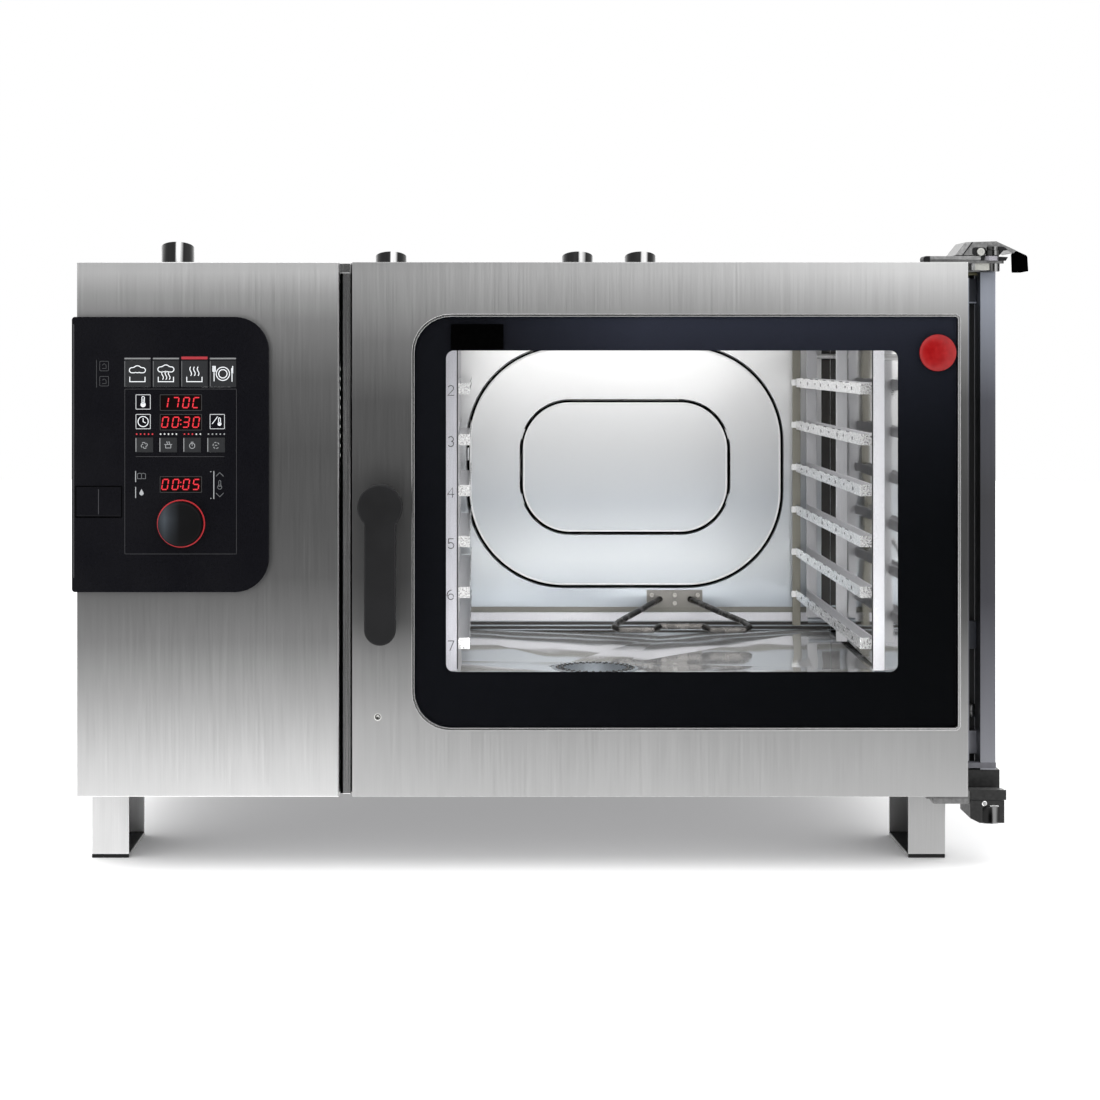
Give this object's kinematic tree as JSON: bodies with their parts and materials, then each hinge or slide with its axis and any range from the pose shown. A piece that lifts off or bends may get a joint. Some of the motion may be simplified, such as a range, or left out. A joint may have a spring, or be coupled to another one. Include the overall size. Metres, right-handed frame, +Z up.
{
  "type": "combi steamer oven",
  "caption": "Counter-top combi steamer with a control panel on the left, a right-hinged glass door on a side slide, a steel cavity with tray racks and a fan behind a baffle.",
  "frame": {"origin": "floor level, middle of the whole oven's width and depth with the door closed", "axes": "+X to the right as seen from the front, +Y back into the oven, +Z up"},
  "size_m": [1.213, 1.068, 0.8237],
  "materials": {
    "stainless_panel": "vertical brushed grain",
    "polished_steel": "polished",
    "wire_steel": "heat tinted",
    "pipe_steel": "satin",
    "hinge_steel": "satin",
    "black_plastic": "moulded",
    "gloss_black": "high gloss",
    "key_plastic": "fine texture",
    "display_window": "smoked window",
    "red_ring": "lit ring",
    "red_enamel": "domed enamel",
    "black_glass": "black printed border",
    "clear_glass": "clear",
    "dark_handle": "fine sparked texture",
    "gasket_rubber": "silicone",
    "spacer_black": "painted",
    "aluminium_profile": "anodised",
    "cast_grey": "grey coated casting",
    "machined_steel": "turned",
    "motor_paint": "painted",
    "valve_body": "moulded",
    "board_green": "soldered board",
    "mineral_wool": "fibrous"
  },
  "bodies": {
    "casing": {"left_side_panel": "stainless_panel", "right_side_panel": "stainless_panel", "back_panel": "stainless_panel", "top_cover": "stainless_panel", "base_frame": "stainless_panel", "control_fascia": "stainless_panel", "front_frame": "stainless_panel", "column_strip": "stainless_panel", "legs": "stainless_panel", "cavity_liner": "polished_steel", "rack_studs": "polished_steel", "hook_plate": "polished_steel", "wire_hook": "wire_steel", "heater_coil": "wire_steel", "injector_pipe": "wire_steel", "control_vent_pipe": "pipe_steel", "rear_vent_pipes": "pipe_steel", "drain_pipe": "pipe_steel", "slide_rails": "hinge_steel", "foot_pads": "black_plastic", "guide_block": "black_plastic", "cable_gland": "black_plastic", "control_bezel": "gloss_black", "display_modules": "display_window", "dial_ring": "red_ring", "mouth_gasket": "gasket_rubber", "slide_column": "aluminium_profile", "top_hinge_arm": "cast_grey", "bottom_hinge_block": "cast_grey", "fan_motor": "motor_paint", "water_valves": "valve_body", "power_board": "board_green", "insulation": "mineral_wool"},
    "door": {"door_shell": "stainless_panel", "outer_glass": "black_glass", "inner_glass": "clear_glass", "window_spacer": "spacer_black", "light_strips": "aluminium_profile", "round_badge": "red_enamel", "door_hinge_plates": "hinge_steel"},
    "handle": {"door_handle": "dark_handle", "latch_spindle": "machined_steel"},
    "dial_carrier": {"dial_bush": "black_plastic"},
    "dial": {"dial_knob": "gloss_black"},
    "flap": {"service_flap": "gloss_black"},
    "fan": {"fan_shaft": "polished_steel", "fan_wheel": "polished_steel"},
    "baffle": {"fan_baffle": "polished_steel", "cover_plate": "polished_steel"},
    "left_rack": {"rack_left": "polished_steel"},
    "right_rack": {"rack_right": "polished_steel"},
    "sieve": {"drain_sieve": "polished_steel"},
    "mode_1": {"mode_key_1": "key_plastic"},
    "mode_2": {"mode_key_2": "key_plastic"},
    "mode_3": {"mode_key_3": "key_plastic"},
    "mode_4": {"mode_key_4": "key_plastic"},
    "function_1": {"function_key_1": "key_plastic"},
    "function_2": {"function_key_2": "key_plastic"},
    "function_3": {"function_key_3": "key_plastic"},
    "function_4": {"function_key_4": "key_plastic"}
  },
  "joints": [
    {"name": "door_swing", "type": "hinge", "parent": "casing", "child": "door", "pos_m": [0.5625, -0.426, 0.43], "axis": [0, 0, 1], "range_deg": [0, 90]},
    {"name": "handle_turn", "type": "hinge", "parent": "door", "child": "handle", "pos_m": [-0.2185, -0.478, 0.463], "axis": [0, -1, 0], "range_deg": [0, 90]},
    {"name": "dial_press", "type": "slide", "parent": "casing", "child": "dial_carrier", "axis": [0, 1, 0], "range_m": [0, 0.0015]},
    {"name": "dial_turn", "type": "hinge", "parent": "dial_carrier", "child": "dial", "pos_m": [-0.4695, -0.488, 0.44], "axis": [0, -1, 0], "continuous": true},
    {"name": "flap_open", "type": "hinge", "parent": "casing", "child": "flap", "pos_m": [-0.5735, -0.4855, 0.45], "axis": [1, 0, 0], "range_deg": [0, 90]},
    {"name": "fan_spin", "type": "hinge", "parent": "casing", "child": "fan", "pos_m": [0.139, 0.402, 0.4705], "axis": [0, -1, 0], "continuous": true},
    {"name": "baffle_swing", "type": "hinge", "parent": "casing", "child": "baffle", "pos_m": [-0.114, 0.371, 0.4705], "axis": [0, 0, -1], "range_deg": [0, 60]},
    {"name": "left_rack_lift", "type": "slide", "parent": "casing", "child": "left_rack", "axis": [0, 0, 1], "range_m": [0, 0.01]},
    {"name": "right_rack_lift", "type": "slide", "parent": "casing", "child": "right_rack", "axis": [0, 0, 1], "range_m": [0, 0.01]},
    {"name": "sieve_lift", "type": "slide", "parent": "casing", "child": "sieve", "axis": [0, 0, 1], "range_m": [0, 0.05]},
    {"name": "mode_key_1_press", "type": "slide", "parent": "casing", "child": "mode_1", "axis": [0, 1, 0], "range_m": [0, 0.0005]},
    {"name": "mode_key_2_press", "type": "slide", "parent": "casing", "child": "mode_2", "axis": [0, 1, 0], "range_m": [0, 0.0005]},
    {"name": "mode_key_3_press", "type": "slide", "parent": "casing", "child": "mode_3", "axis": [0, 1, 0], "range_m": [0, 0.0005]},
    {"name": "mode_key_4_press", "type": "slide", "parent": "casing", "child": "mode_4", "axis": [0, 1, 0], "range_m": [0, 0.0005]},
    {"name": "function_key_1_press", "type": "slide", "parent": "casing", "child": "function_1", "axis": [0, 1, 0], "range_m": [0, 0.0005]},
    {"name": "function_key_2_press", "type": "slide", "parent": "casing", "child": "function_2", "axis": [0, 1, 0], "range_m": [0, 0.0005]},
    {"name": "function_key_3_press", "type": "slide", "parent": "casing", "child": "function_3", "axis": [0, 1, 0], "range_m": [0, 0.0005]},
    {"name": "function_key_4_press", "type": "slide", "parent": "casing", "child": "function_4", "axis": [0, 1, 0], "range_m": [0, 0.0005]}
  ]
}
